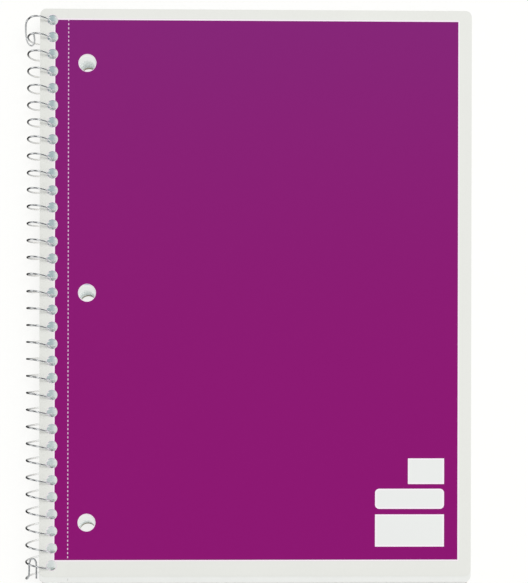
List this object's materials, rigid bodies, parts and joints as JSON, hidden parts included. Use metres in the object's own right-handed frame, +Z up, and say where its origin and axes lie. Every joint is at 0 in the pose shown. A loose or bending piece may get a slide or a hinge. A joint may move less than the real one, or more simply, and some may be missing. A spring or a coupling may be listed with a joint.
{
  "type": "spiral notebook",
  "caption": "Spiral-bound ruled notebook with two hinged card covers, a block of paper, binder ring holes and a leaning steel wire coil with curled ends.",
  "frame": {"origin": "under the middle of the closed notebook, on the surface it lies on", "axes": "+X from the coil to the fore edge, +Y up the page, +Z up out of the front cover"},
  "size_m": [0.2102, 0.2724, 0.0138],
  "materials": {
    "front_card": "coated card, printed purple inside a pale border",
    "paper": "matt white writing paper",
    "back_card": "uncoated grey-brown board",
    "wire": "bright galvanised steel wire"
  },
  "bodies": {
    "pages_and_coil": {"page_block": "paper", "wire_coil": "wire"},
    "front_cover": {"front_cover": "front_card"},
    "back_cover": {"back_cover": "back_card"}
  },
  "joints": [
    {"name": "front_cover_hinge", "type": "hinge", "parent": "pages_and_coil", "child": "front_cover", "pos_m": [-0.09819, 0, 0.00695], "axis": [0, -1, 0], "range_deg": [0, 180]},
    {"name": "back_cover_hinge", "type": "hinge", "parent": "pages_and_coil", "child": "back_cover", "pos_m": [-0.09819, 0, 0.00695], "axis": [0, 1, 0], "range_deg": [0, 180]}
  ]
}
